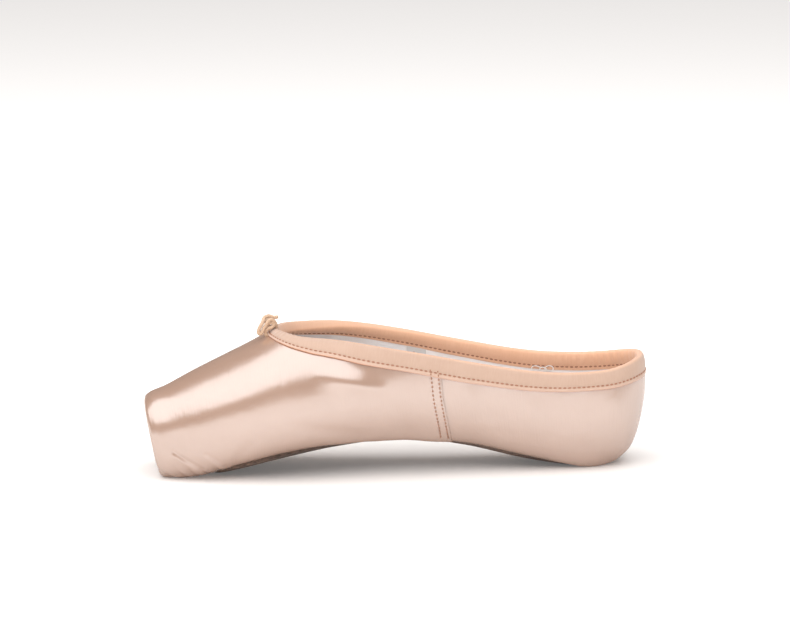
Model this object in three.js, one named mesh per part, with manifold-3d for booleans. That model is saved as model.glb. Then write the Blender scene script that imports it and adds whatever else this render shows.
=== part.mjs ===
// A pointe shoe that fits either foot: satin upper with a stiff toe box, leather outsole, insole,
// collar binding and a tied drawstring. Every piece is one closed solid.
// Millimetres, +Z up. The toe points along -X and the heel along +X, and the shoe stands on z = 0.
// The origin is on the floor, midway between the tip of the toe and the back of the heel.

import * as THREE from 'three';
import { mergeVertices } from 'three/addons/utils/BufferGeometryUtils.js';
import Module from 'manifold-3d';

const wasm = await Module();
wasm.setup();

// Driving sizes of the last, outside the satin
const LENGTH = 234;
const TOE_X = -117.5;
const BALL_WIDTH = 71;
const INSTEP_HEIGHT = 80;
const ARCH_RISE = 16;

// Thicknesses
const BOX_WALL = 3;
const QUARTER_WALL = 1.6;
const SOLE_THICKNESS = 2.2;
const INSOLE_THICKNESS = 1.8;
const TAPE_THICKNESS = 1;
const GAP = 0.3;

// The wall thins from the box to the quarters between these two places, in mm from the middle
const BOX_END = -45;
const QUARTER_START = -5;

// How finely the last is divided
const STEPS_BETWEEN_SECTIONS = 2;
const POINTS_ROUND = 34;

// Sections of the last from the toe to the heel. Each is a slice between a point on the sole line and
// a point on the crest line. lowAt and crestAt are percent of LENGTH from the toe, low is percent of
// ARCH_RISE above the floor, crest is percent of INSTEP_HEIGHT, and half is percent of half BALL_WIDTH.
// widest is how far up the slice its widest point is. softLow and softTop are the exponents of the
// lower and upper half of the slice: 2 is an ellipse, and more is squarer.
const SECTIONS = [
  { lowAt: 1.4, crestAt: 1.4, low: 106, crest: 21.2, half: 0, widest: 0.5, softLow: 2.4, softTop: 2.4 },
  { lowAt: 2.1, crestAt: 0.8, low: 50, crest: 32.5, half: 31, widest: 0.5, softLow: 2.4, softTop: 2.4 },
  { lowAt: 2.7, crestAt: 0.1, low: 10, crest: 42, half: 54, widest: 0.48, softLow: 2.6, softTop: 2.4 },
  { lowAt: 3.7, crestAt: 1.2, low: -4, crest: 46.6, half: 61, widest: 0.46, softLow: 2.9, softTop: 2.3 },
  { lowAt: 6.6, crestAt: 4.7, low: -6, crest: 51, half: 67, widest: 0.45, softLow: 3.1, softTop: 2.2 },
  { lowAt: 11.7, crestAt: 10.6, low: 6, crest: 60, half: 80, widest: 0.44, softLow: 3.2, softTop: 2.1 },
  { lowAt: 19.4, crestAt: 18.9, low: 36, crest: 71.5, half: 93, widest: 0.43, softLow: 3.1, softTop: 2.1 },
  { lowAt: 27.9, crestAt: 27.9, low: 66, crest: 83.8, half: 100, widest: 0.41, softLow: 2.9, softTop: 2.1 },
  { lowAt: 38.1, crestAt: 38.1, low: 92, crest: 92, half: 96, widest: 0.38, softLow: 2.7, softTop: 2.05 },
  { lowAt: 50.9, crestAt: 50.9, low: 106, crest: 98.8, half: 86, widest: 0.38, softLow: 2.6, softTop: 2.3 },
  { lowAt: 63.6, crestAt: 63.6, low: 82, crest: 100, half: 80, widest: 0.38, softLow: 2.6, softTop: 2.3 },
  { lowAt: 75.5, crestAt: 75.5, low: 38, crest: 97.5, half: 77, widest: 0.37, softLow: 2.6, softTop: 2.2 },
  { lowAt: 85.7, crestAt: 85.7, low: 12, crest: 93.8, half: 74, widest: 0.36, softLow: 2.6, softTop: 2.1 },
  { lowAt: 91.7, crestAt: 92.4, low: 13, crest: 87, half: 67, widest: 0.37, softLow: 2.5, softTop: 2.2 },
  { lowAt: 95.6, crestAt: 97.0, low: 24, crest: 76.5, half: 52, widest: 0.4, softLow: 2.4, softTop: 2.2 },
  { lowAt: 98.2, crestAt: 99.6, low: 82, crest: 62.0, half: 28.5, widest: 0.46, softLow: 2.2, softTop: 2.2 },
  { lowAt: 100, crestAt: 100, low: 206, crest: 41.2, half: 0, widest: 0.5, softLow: 2.2, softTop: 2.2 },
];

// The collar from the throat to the back of the heel, as seen from the side: the edge of the satin
const COLLAR = [
  { x: -62, z: 65.5 },
  { x: -53, z: 66 },
  { x: -44, z: 65.1 },
  { x: -25, z: 63.8 },
  { x: 3, z: 59.1 },
  { x: 31, z: 53.4 },
  { x: 59, z: 48.2 },
  { x: 80, z: 46.4 },
  { x: 100, z: 47.2 },
  { x: 119, z: 51.6 },
];
const COLLAR_STEPS = 24;
const BINDING_DEPTH = 8.4;

// The throat lies between these two sections, counted from the toe
const BOX_SECTION = 6;
const WAIST_SECTION = 9;

// How far the collar is cut on each side of the satin
const CUT_REACH = 7;

// Half outlines from the toe end to the heel end, as seen from above
const OUTSOLE = [
  { x: -88, half: 0 },
  { x: -83, half: 12 },
  { x: -70, half: 18.5 },
  { x: -50, half: 20.5 },
  { x: -22, half: 16.5 },
  { x: 12, half: 12.5 },
  { x: 45, half: 13 },
  { x: 74, half: 12.5 },
  { x: 90, half: 10.5 },
  { x: 97, half: 7.2 },
  { x: 100, half: 0 },
];
const INSOLE_MARGIN = 5;
const LASTING_MARGIN = 6;

// Drawstring
const CORD_DIAMETER = 1.8;
const KNOT = new THREE.Vector3(-60, 0, 67.8);
const KNOT_RADIUS = 2.4;

// The cord's course outside the knot, from the middle of the knot
const NEAR_LOOP = [
  [-2.2, -2.4, 1.6],
  [-4.2, -4.4, 0.8],
  [-5.4, -6.4, -1.8],
  [-4.2, -6.6, -3.4],
  [-2, -4.2, -1.4],
];
const FAR_LOOP = [
  [-1.4, 2.8, 1.6],
  [-2.2, 4, 3.6],
  [0.2, 5.2, 4.8],
  [2.8, 4.6, 3.2],
  [2.4, 2.6, 1.2],
];
const NEAR_END = [[2.4, -1.8, 0.8], [3.6, -2.6, 2.4], [4.2, -3, 4.4]];
const FAR_END = [[2.8, 1.2, 0.2], [4.4, 2, 0.4], [5.6, 2.8, 1]];

const satin = new THREE.MeshStandardMaterial({ color: '#e8cdbd', roughness: 0.4, metalness: 0 });
const tape = new THREE.MeshStandardMaterial({ color: '#e9c7b1', roughness: 0.8, metalness: 0 });
const leather = new THREE.MeshStandardMaterial({ color: '#8a6a52', roughness: 0.75, metalness: 0 });
const board = new THREE.MeshStandardMaterial({ color: '#cdc6c4', roughness: 0.9, metalness: 0 });
const cotton = new THREE.MeshStandardMaterial({ color: '#dcb795', roughness: 0.9, metalness: 0 });

// A section in millimetres
function inMillimetres(row) {
  return {
    lowX: TOE_X + (row.lowAt / 100) * LENGTH,
    lowZ: (row.low / 100) * ARCH_RISE,
    crestX: TOE_X + (row.crestAt / 100) * LENGTH,
    crestZ: (row.crest / 100) * INSTEP_HEIGHT,
    half: (row.half / 100) * BALL_WIDTH / 2,
    widest: row.widest,
    softLow: row.softLow,
    softTop: row.softTop,
  };
}

// The section past an end of the last, so that the end is round: the next one turned over
function turnedOver(row) {
  return {
    ...row,
    lowX: row.crestX,
    lowZ: row.crestZ,
    crestX: row.lowX,
    crestZ: row.lowZ,
    half: -row.half,
  };
}

const sections = SECTIONS.map(inMillimetres);
const padded = [turnedOver(sections[1]), ...sections, turnedOver(sections.at(-2))];

// The section at a share of the way from one row of the table to the next, on a smooth curve
function sectionAt(index, share) {
  const [before, start, end, after] = padded.slice(index, index + 4);
  const section = {};
  for (const column of Object.keys(start)) {
    const leaving = (end[column] - before[column]) / 2;
    const arriving = (after[column] - start[column]) / 2;
    const rise = end[column] - start[column];
    const bend = 3 * rise - 2 * leaving - arriving;
    const twist = leaving + arriving - 2 * rise;
    section[column] = start[column] + share * (leaving + share * (bend + share * twist));
  }
  return section;
}

// A point of a section, at an angle from 0 under the sole, through a quarter turn at the side
function pointOf(section, angle) {
  const down = Math.cos(angle);
  const out = Math.sin(angle);
  const softness = THREE.MathUtils.lerp(section.softTop, section.softLow, (down + 1) / 2);
  const y = section.half * Math.sign(out) * Math.abs(out) ** (2 / softness);
  const reach = Math.abs(down) ** (2 / softness);
  const up = down > 0 ? section.widest * (1 - reach) : section.widest + (1 - section.widest) * reach;
  const x = THREE.MathUtils.lerp(section.lowX, section.crestX, up);
  const z = THREE.MathUtils.lerp(section.lowZ, section.crestZ, up);
  return new THREE.Vector3(x, y, z);
}

// The closed surface of the last, with its faces pointing outwards
function lastSurface() {
  const first = sections[0];
  const last = sections.at(-1);
  const rings = [];
  for (let index = 0; index < sections.length - 1; index += 1) {
    for (let step = 0; step < STEPS_BETWEEN_SECTIONS; step += 1) {
      if (index + step > 0) rings.push(sectionAt(index, step / STEPS_BETWEEN_SECTIONS));
    }
  }
  const points = [new THREE.Vector3(first.lowX, 0, first.lowZ)];
  for (const ring of rings) {
    for (let k = 0; k < POINTS_ROUND; k += 1) {
      points.push(pointOf(ring, (k / POINTS_ROUND) * 2 * Math.PI));
    }
  }
  points.push(new THREE.Vector3(last.lowX, 0, last.lowZ));
  const faces = [];
  const tip = points.length - 1;
  for (let k = 0; k < POINTS_ROUND; k += 1) {
    const next = (k + 1) % POINTS_ROUND;
    faces.push(0, 1 + next, 1 + k);
    const end = 1 + (rings.length - 1) * POINTS_ROUND;
    faces.push(tip, end + k, end + next);
    for (let ring = 0; ring < rings.length - 1; ring += 1) {
      const here = 1 + ring * POINTS_ROUND;
      const there = here + POINTS_ROUND;
      faces.push(here + k, there + next, there + k);
      faces.push(here + k, here + next, there + next);
    }
  }
  const surface = new THREE.BufferGeometry().setFromPoints(points);
  surface.setIndex(faces);
  surface.computeVertexNormals();
  return surface;
}

const last = lastSurface();

// Thickness of the upper at a place along the shoe
function wallAt(x) {
  const share = THREE.MathUtils.smoothstep(x, BOX_END, QUARTER_START);
  return THREE.MathUtils.lerp(BOX_WALL, QUARTER_WALL, share);
}

// The last grown by an offset, or by a function of the place along the shoe
function lastForm(offset) {
  const grown = last.clone();
  const position = grown.attributes.position;
  const normal = grown.attributes.normal;
  for (let i = 0; i < position.count; i += 1) {
    const amount = typeof offset === 'function' ? offset(position.getX(i)) : offset;
    position.setXYZ(
      i,
      position.getX(i) + normal.getX(i) * amount,
      position.getY(i) + normal.getY(i) * amount,
      position.getZ(i) + normal.getZ(i) * amount,
    );
  }
  return solidOf(grown);
}

// A closed geometry as a solid that can be cut and joined
function solidOf(geometry) {
  const bare = geometry.clone();
  bare.deleteAttribute('normal');
  bare.deleteAttribute('uv');
  const merged = mergeVertices(bare, 1e-4);
  const vertProperties = new Float32Array(merged.attributes.position.array);
  const triVerts = new Uint32Array(merged.index.array);
  return new wasm.Manifold(new wasm.Mesh({ numProp: 3, vertProperties, triVerts }));
}

function geometryOf(solid) {
  const mesh = solid.getMesh();
  const geometry = new THREE.BufferGeometry();
  geometry.setAttribute('position', new THREE.BufferAttribute(mesh.vertProperties, 3));
  geometry.setIndex(new THREE.BufferAttribute(mesh.triVerts, 1));
  return geometry;
}

// A point of the last, and the direction straight out of it, at a place along the sections and an angle
function placeOn(along, angle) {
  const at = (u, v) => {
    const index = Math.min(Math.floor(u), sections.length - 2);
    return pointOf(sectionAt(index, u - index), v);
  };
  const point = at(along, angle);
  const lengthways = at(along + 0.01, angle).sub(at(along - 0.01, angle));
  const around = at(along, angle + 0.01).sub(at(along, angle - 0.01));
  return { point, out: around.cross(lengthways).normalize() };
}

// Where a value of f turns from negative to positive
function crossing(f, from, to) {
  let low = from;
  let high = to;
  for (let i = 0; i < 30; i += 1) {
    const middle = (low + high) / 2;
    if (f(middle) < 0) low = middle;
    else high = middle;
  }
  return low;
}

const collarLine = new THREE.SplineCurve(COLLAR.map((row) => new THREE.Vector2(row.x, row.z)));

function collarHeight(x) {
  return collarLine.getPoint(crossing((share) => collarLine.getPoint(share).x - x, 0, 1)).y;
}

// The edge of the satin from the throat, along one side and round the back of the heel
function collarEdge() {
  const above = (along, angle) => {
    const { point } = placeOn(along, angle);
    return point.z - collarHeight(point.x);
  };
  const throat = crossing((along) => above(along, Math.PI), BOX_SECTION, WAIST_SECTION);
  const back = crossing((along) => -above(along, Math.PI), WAIST_SECTION, sections.length - 1.2);
  const edge = [];
  for (let k = 0; k <= COLLAR_STEPS; k += 1) {
    const share = (1 - Math.cos((k / COLLAR_STEPS) * Math.PI)) / 2;
    const along = THREE.MathUtils.lerp(throat, back, share);
    const angle = crossing((v) => above(along, v), Math.PI / 2, Math.PI);
    edge.push(placeOn(along, angle));
  }
  const otherSide = edge.slice(1, -1).reverse().map(({ point, out }) => ({
    point: new THREE.Vector3(point.x, -point.y, point.z),
    out: new THREE.Vector3(out.x, -out.y, out.z),
  }));
  return [...edge, ...otherSide];
}

const edge = collarEdge();

// All that is above the collar, cut square to the wall. With a spread, the cut is that much further
// down the wall and further forward.
function aboveCollar(spread) {
  const rings = [[], [], []];
  edge.forEach(({ point, out }, i) => {
    const ahead = edge[(i + 1) % edge.length].point;
    const behind = edge.at(i - 1).point;
    const away = new THREE.Vector3().subVectors(behind, ahead).normalize().cross(out);
    const base = point.clone().addScaledVector(away, spread);
    rings[0].push(base.clone().addScaledVector(out, -CUT_REACH));
    rings[1].push(base.clone().addScaledVector(out, CUT_REACH));
    rings[2].push(rings[1][i].clone().setZ(2 * INSTEP_HEIGHT));
  });
  const points = rings.flat();
  const faces = [];
  const count = edge.length;
  const middle = rings.map((ring) => {
    const sum = ring.reduce((total, point) => total.add(point), new THREE.Vector3());
    return sum.divideScalar(count);
  });
  points.push(middle[0], middle[2]);
  for (let i = 0; i < count; i += 1) {
    const next = (i + 1) % count;
    faces.push(3 * count, i, next);
    faces.push(3 * count + 1, 2 * count + next, 2 * count + i);
    for (const ring of [0, count]) {
      faces.push(ring + i, ring + count + i, ring + count + next);
      faces.push(ring + i, ring + count + next, ring + next);
    }
  }
  const block = new THREE.BufferGeometry().setFromPoints(points);
  block.setIndex(faces);
  return solidOf(block);
}

// An upright block with the outline of a sole, wider by a margin, from under the floor to above
// the underfoot wall
function soleBlock(margin) {
  const rows = OUTSOLE.slice(1, -1).map((row) => new THREE.Vector2(row.x, row.half + margin));
  const toeEnd = new THREE.Vector2(OUTSOLE[0].x - margin, 0);
  const heelEnd = new THREE.Vector2(OUTSOLE.at(-1).x + margin, 0);
  const near = new THREE.SplineCurve([toeEnd, ...rows, heelEnd]).getPoints(2 * OUTSOLE.length);
  const outline = new THREE.Shape();
  outline.moveTo(near[0].x, 0);
  for (const point of near.slice(1, -1)) outline.lineTo(point.x, -point.y);
  outline.lineTo(near.at(-1).x, 0);
  for (const point of near.slice(1, -1).reverse()) outline.lineTo(point.x, point.y);
  const block = new THREE.ExtrudeGeometry(outline, { depth: 40, bevelEnabled: false });
  block.translate(0, 0, -10);
  return solidOf(block);
}

const floor = new THREE.BoxGeometry(2 * LENGTH, 2 * BALL_WIDTH, 40);
floor.translate(0, 0, -20);
const belowFloor = solidOf(floor);

function makeUpper() {
  const wall = lastForm(0).subtract(lastForm((x) => -wallAt(x)));
  return wall.subtract(aboveCollar(0)).subtract(soleBlock(-LASTING_MARGIN)).subtract(belowFloor);
}

function makeOutsole() {
  const layer = lastForm(GAP + SOLE_THICKNESS).subtract(lastForm(GAP));
  return layer.intersect(soleBlock(0)).subtract(belowFloor);
}

function makeInsole() {
  const inside = lastForm((x) => -wallAt(x) - GAP);
  const layer = inside.subtract(inside.translate([0, 0, INSOLE_THICKNESS]));
  return layer.intersect(soleBlock(INSOLE_MARGIN));
}

// The tape is folded over the edge of the satin, with a flange outside and one inside
function makeBinding() {
  const outside = lastForm(GAP + TAPE_THICKNESS);
  const inside = lastForm((x) => -wallAt(x) - GAP - TAPE_THICKNESS);
  const band = outside.subtract(inside).intersect(aboveCollar(BINDING_DEPTH));
  const room = lastForm(GAP).subtract(lastForm((x) => -wallAt(x) - GAP));
  const fold = band.subtract(aboveCollar(-GAP - TAPE_THICKNESS));
  return fold.subtract(room.subtract(aboveCollar(-GAP)));
}

// A length of cord through points given from the middle of the knot
function makeCord(points, steps) {
  const path = new THREE.CatmullRomCurve3(points.map(([x, y, z]) => new THREE.Vector3(x, y, z).add(KNOT)));
  const round = new THREE.Shape();
  round.absarc(0, 0, CORD_DIAMETER / 2, 0, 2 * Math.PI, false);
  return new THREE.ExtrudeGeometry(round, { extrudePath: path, steps, curveSegments: 4 });
}

function makeKnot() {
  const bead = new THREE.SphereGeometry(KNOT_RADIUS, 14, 10);
  bead.scale(1, 1.1, 0.95);
  bead.translate(KNOT.x, KNOT.y, KNOT.z);
  return bead;
}

const shoe = new THREE.Group();

function add(name, geometry, material) {
  const mesh = new THREE.Mesh(geometry, material);
  mesh.name = name;
  shoe.add(mesh);
}

add('upper', geometryOf(makeUpper()), satin);
add('outsole', geometryOf(makeOutsole()), leather);
add('insole', geometryOf(makeInsole()), board);
add('binding', geometryOf(makeBinding()), tape);
add('drawstring_knot', makeKnot(), cotton);
add('drawstring_near_loop', makeCord(NEAR_LOOP, 12), cotton);
add('drawstring_far_loop', makeCord(FAR_LOOP, 12), cotton);
add('drawstring_near_end', makeCord(NEAR_END, 5), cotton);
add('drawstring_far_end', makeCord(FAR_END, 5), cotton);

export default shoe;
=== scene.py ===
# A pointe shoe for either foot, standing empty: a stiff toe box under peach satin, satin quarters, a
# folded tape round the collar with a drawstring tied at the throat, a grey cotton lining, an insole and
# a thin waisted leather sole. Sizes are in millimetres and are turned into metres where a mesh is made.

import bpy
import numpy as np
from mathutils import Matrix, Vector


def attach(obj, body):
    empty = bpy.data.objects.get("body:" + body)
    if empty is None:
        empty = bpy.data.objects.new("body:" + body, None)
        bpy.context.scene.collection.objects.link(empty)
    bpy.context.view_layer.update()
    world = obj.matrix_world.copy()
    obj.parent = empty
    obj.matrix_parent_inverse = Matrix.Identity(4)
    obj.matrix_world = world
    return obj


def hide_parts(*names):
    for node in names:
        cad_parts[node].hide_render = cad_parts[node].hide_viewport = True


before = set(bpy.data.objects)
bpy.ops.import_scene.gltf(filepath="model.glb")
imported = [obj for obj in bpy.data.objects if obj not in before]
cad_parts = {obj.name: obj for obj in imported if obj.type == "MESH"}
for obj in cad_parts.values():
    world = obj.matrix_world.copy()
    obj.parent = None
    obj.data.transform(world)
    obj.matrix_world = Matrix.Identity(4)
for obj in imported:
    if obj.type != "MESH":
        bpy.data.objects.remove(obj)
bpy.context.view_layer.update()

# ---------------------------------------------------------------------------------------------------
# Camera: a long lens two metres off and a little above the shoe. It looks at the shoe's near side,
# and is turned a few degrees from square on.

CAMERA_DISTANCE = 2.0
CAMERA_AZIMUTH = np.radians(3.75)
CAMERA_ELEVATION = np.radians(12.9)
CAMERA_ROLL = np.radians(0.6)
AIM_ABOVE_FLOOR = 0.0718
PICTURE_WIDTH_AT_SHOE = 0.3697
SENSOR = 36

looking = Vector(
    (
        np.sin(CAMERA_AZIMUTH) * np.cos(CAMERA_ELEVATION),
        np.cos(CAMERA_AZIMUTH) * np.cos(CAMERA_ELEVATION),
        -np.sin(CAMERA_ELEVATION),
    )
)
upwards = Vector((np.cos(CAMERA_AZIMUTH), -np.sin(CAMERA_AZIMUTH), 0)).cross(looking)
aim = upwards * AIM_ABOVE_FLOOR
bpy.ops.object.camera_add(location=-looking * CAMERA_DISTANCE)
camera = bpy.context.object
camera.name = "camera"
camera.data.sensor_width = SENSOR
camera.data.lens = SENSOR * CAMERA_DISTANCE / PICTURE_WIDTH_AT_SHOE
camera.data.clip_end = 50
facing = (aim - camera.location).to_track_quat("-Z", "Y").to_matrix()
camera.rotation_euler = (facing @ Matrix.Rotation(-CAMERA_ROLL, 3, "Z")).to_euler()
bpy.context.scene.camera = camera
bpy.context.scene.view_settings.view_transform = "Standard"

# ---------------------------------------------------------------------------------------------------
# Drawstring: one thin cotton cord of three plies that runs round the collar inside the tape. Its two
# strands come out of the tape at the throat and are tied there in a small tight knot with short ends.

MM = 0.001
CORD_DIAMETER = 1.8
KNOT = np.array((-60.0, 0.0, 67.8))
NEAR_CORD = [
    (7.2, -2.9, -2.5),
    (5.2, -2.4, -2.9),
    (3.6, -2.6, -3.5),
    (1.8, -2.9, -4.2),
    (0.5, -2.9, -4.0),
    (-0.3, -2.9, -3.1),
    (-0.4, -3.0, -1.9),
    (0.2, -3.2, -0.9),
    (1.4, -3.3, -0.3),
    (2.6, -3.1, 0.0),
    (3.5, -2.5, 1.0),
    (2.7, -2.3, 2.0),
    (1.4, -2.4, 1.7),
    (1.0, -1.6, 0.6),
    (1.9, -0.6, -0.3),
    (3.2, 0.3, 0.0),
    (3.6, 1.2, 1.2),
    (2.8, 1.8, 2.4),
    (1.4, 1.6, 2.8),
    (0.2, 0.8, 2.2),
    (-0.3, -0.4, 1.4),
]
FAR_CORD = [
    (5.6, 1.6, -2.3),
    (5.0, 0.5, -1.4),
    (4.7, -0.7, -0.2),
    (4.5, -1.6, 1.1),
    (3.8, -2.2, 2.4),
    (2.8, -2.7, 3.4),
    (1.7, -3.1, 3.5),
    (0.7, -3.5, 2.5),
    (-0.2, -3.8, 1.2),
    (-1.2, -4.1, -0.3),
    (-1.7, -4.3, -1.4),
    (-2.5, -4.6, -2.6),
    (-3.5, -4.7, -2.5),
    (-3.6, -4.5, -1.2),
    (-2.9, -4.3, 0.5),
    (-2.0, -3.9, 2.0),
    (-1.4, -3.1, 3.1),
    (-1.2, -2.2, 3.8),
    (-0.3, -1.6, 4.6),
    (1.1, -1.2, 5.0),
    (2.5, -1.1, 4.6),
    (3.9, -1.0, 4.2),
    (5.8, -0.9, 4.5),
]
CORD_STEPS = 260
CORD_SIDES = 18
PLIES = 3
TWIST_PITCH = 6.375


def smooth_line(points, count):
    """Evenly spaced points on a smooth curve through points."""
    points = np.asarray(points, float)
    ends = np.vstack([2 * points[0] - points[1], points, 2 * points[-1] - points[-2]])
    t = np.linspace(0, len(points) - 1, count * 4)
    i = np.minimum(t.astype(int), len(points) - 2)
    s = (t - i)[:, None]
    before, start, end, after = (ends[i + k] for k in range(4))
    leaving, arriving, rise = (end - before) / 2, (after - start) / 2, end - start
    bend = 3 * rise - 2 * leaving - arriving
    line = start + s * (leaving + s * (bend + s * (leaving + arriving - 2 * rise)))
    travelled = np.concatenate([[0], np.cumsum(np.linalg.norm(np.diff(line, axis=0), axis=1))])
    even = np.linspace(0, travelled[-1], count)
    return np.stack([np.interp(even, travelled, line[:, k]) for k in range(3)], axis=1)


def frames_along(line):
    """A direction along the line, and two across it that don't spin, at each point."""
    along = np.gradient(line, axis=0)
    along /= np.linalg.norm(along, axis=1)[:, None]
    side = np.cross(along[0], (0, 0, 1))
    side /= np.linalg.norm(side)
    sides = [side]
    for direction in along[1:]:
        side = sides[-1] - direction * (sides[-1] @ direction)
        sides.append(side / np.linalg.norm(side))
    sides = np.array(sides)
    return along, sides, np.cross(along, sides)


def mesh_object(name, points, faces):
    """A new object with this mesh, in metres, and nothing else selected."""
    mesh = bpy.data.meshes.new(name)
    mesh.from_pydata((np.asarray(points) * MM).tolist(), [], faces)
    made = bpy.data.objects.new(name, mesh)
    bpy.context.collection.objects.link(made)
    bpy.ops.object.select_all(action="DESELECT")
    made.select_set(True)
    bpy.context.view_layer.objects.active = made
    return made


def shade_smooth(piece):
    bpy.ops.object.select_all(action="DESELECT")
    piece.select_set(True)
    bpy.context.view_layer.objects.active = piece
    bpy.ops.object.shade_smooth()


def twisted_cord(name, points):
    line = smooth_line(np.array(points) + KNOT, CORD_STEPS)
    along, sides, ups = frames_along(line)
    length = np.linalg.norm(np.diff(line, axis=0), axis=1).sum()
    travelled = np.linspace(0, length, CORD_STEPS)[:, None]
    turn = np.linspace(0, 2 * np.pi, CORD_SIDES, endpoint=False)[None, :]
    lobes = np.abs(np.cos(PLIES / 2 * (turn - 2 * np.pi * travelled / TWIST_PITCH)))
    radius = CORD_DIAMETER / 2 * (0.93 + 0.07 * lobes)
    round_end = np.minimum(1, np.minimum(travelled, length - travelled) / (CORD_DIAMETER / 3)) ** 0.5
    radius = radius * (0.35 + 0.65 * round_end)
    ring = sides[:, None] * np.cos(turn)[..., None] + ups[:, None] * np.sin(turn)[..., None]
    tube = (line[:, None] + ring * radius[..., None]).reshape(-1, 3)
    faces = []
    for i in range(CORD_STEPS - 1):
        for k in range(CORD_SIDES):
            n = (k + 1) % CORD_SIDES
            a, b = i * CORD_SIDES, (i + 1) * CORD_SIDES
            faces.append((a + k, a + n, b + n, b + k))
    faces.append(tuple(range(CORD_SIDES - 1, -1, -1)))
    faces.append(tuple((CORD_STEPS - 1) * CORD_SIDES + k for k in range(CORD_SIDES)))
    cord = mesh_object(name, tube, faces)
    shade_smooth(cord)
    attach(cord, "root")
    return cord


def new_material(name, color, roughness, **sockets):
    """A principled material, with its node tree and shader."""
    material = bpy.data.materials.new(name)
    material.use_nodes = True
    shader = material.node_tree.nodes["Principled BSDF"]
    shader.inputs["Base Color"].default_value = (*color, 1)
    shader.inputs["Roughness"].default_value = roughness
    for socket, value in sockets.items():
        shader.inputs[socket.replace("_", " ")].default_value = value
    return material, material.node_tree, shader


def add_node(tree, kind, inputs=None, **settings):
    """A node of this kind, with its settings, and its inputs set or linked."""
    node = tree.nodes.new(kind)
    for key, value in settings.items():
        setattr(node, key, value)
    for key, value in (inputs or {}).items():
        if isinstance(value, bpy.types.NodeSocket):
            tree.links.new(value, node.inputs[key])
        else:
            node.inputs[key].default_value = value
    return node


def two_tone(tree, shader, factor, dark, light):
    """Base colour that runs from dark to light as factor does."""
    ramp = add_node(tree, "ShaderNodeValToRGB", {"Fac": factor})
    ramp.color_ramp.elements[0].color = (*dark, 1)
    ramp.color_ramp.elements[1].color = (*light, 1)
    tree.links.new(ramp.outputs["Color"], shader.inputs["Base Color"])
    return ramp


def bump(tree, shader, height, strength, distance, under=None):
    """A bump from height, in millimetres, over another bump."""
    node = add_node(
        tree,
        "ShaderNodeBump",
        {"Strength": strength, "Distance": distance * MM, "Height": height},
    )
    if under:
        tree.links.new(under.outputs["Normal"], node.inputs["Normal"])
    tree.links.new(node.outputs["Normal"], shader.inputs["Normal"])
    return node


cotton, tree, shader = new_material("twisted cotton", (0.72, 0.50, 0.36), 0.45, Sheen_Weight=0.3)
place = add_node(tree, "ShaderNodeTexCoord").outputs["Object"]
fibres = add_node(tree, "ShaderNodeTexNoise", {"Vector": place, "Scale": 2600, "Detail": 3})
two_tone(tree, shader, fibres.outputs["Fac"], (0.38, 0.23, 0.14), (0.68, 0.48, 0.33))
bump(tree, shader, fibres.outputs["Fac"], 0.5, 0.1)

near_cord = twisted_cord("drawstring_near", NEAR_CORD)
far_cord = twisted_cord("drawstring_far", FAR_CORD)
for cord in (near_cord, far_cord):
    cord.data.materials.append(cotton)
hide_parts("drawstring_near_loop", "drawstring_near_end", "drawstring_knot")
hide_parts("drawstring_far_loop", "drawstring_far_end")

# ---------------------------------------------------------------------------------------------------
# The last: the wooden form that the shoe is made on. It isn't a piece, but every piece is shaped on it.
# Each row is a slice from the toe to the heel, as in the frame: places along the shoe in percent of
# LENGTH, the sole line in percent of ARCH_RISE, the crest line in percent of INSTEP_HEIGHT, half the
# width in percent of half BALL_WIDTH, how far up it is widest, and how square it is below and above.

LENGTH = 234.0
TOE_X = -117.5
BALL_WIDTH = 71.0
INSTEP_HEIGHT = 80.0
ARCH_RISE = 16.0

# low_at, crest_at, low, crest, half, widest, soft_low, soft_top
SECTIONS = np.array(
    [
        (1.4, 1.4, 106, 21.2, 0, 0.5, 2.4, 2.4),
        (2.1, 0.8, 50, 32.5, 31, 0.5, 2.4, 2.4),
        (2.7, 0.1, 10, 42, 54, 0.48, 2.6, 2.4),
        (3.7, 1.2, -4, 46.6, 61, 0.46, 2.9, 2.3),
        (6.6, 4.7, -6, 51, 67, 0.45, 3.1, 2.2),
        (11.7, 10.6, 6, 60, 80, 0.44, 3.2, 2.1),
        (19.4, 18.9, 36, 71.5, 93, 0.43, 3.1, 2.1),
        (27.9, 27.9, 66, 83.8, 100, 0.41, 2.9, 2.1),
        (38.1, 38.1, 92, 92, 96, 0.38, 2.7, 2.05),
        (50.9, 50.9, 106, 98.8, 86, 0.38, 2.6, 2.3),
        (63.6, 63.6, 82, 100, 80, 0.38, 2.6, 2.3),
        (75.5, 75.5, 38, 97.5, 77, 0.37, 2.6, 2.2),
        (85.7, 85.7, 12, 93.8, 74, 0.36, 2.6, 2.1),
        (91.7, 92.4, 13, 87, 67, 0.37, 2.5, 2.2),
        (95.6, 97.0, 24, 76.5, 52, 0.4, 2.4, 2.2),
        (98.2, 99.6, 82, 62.0, 28.5, 0.46, 2.2, 2.2),
        (100, 100, 206, 41.2, 0, 0.5, 2.2, 2.2),
    ]
)
# x, z: the edge of the satin at the collar, as seen from the side
COLLAR = np.array(
    [
        (-62, 65.5),
        (-53, 66),
        (-44, 65.1),
        (-25, 63.8),
        (3, 59.1),
        (31, 53.4),
        (59, 48.2),
        (80, 46.4),
        (100, 47.2),
        (119, 51.6),
    ]
)

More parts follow.
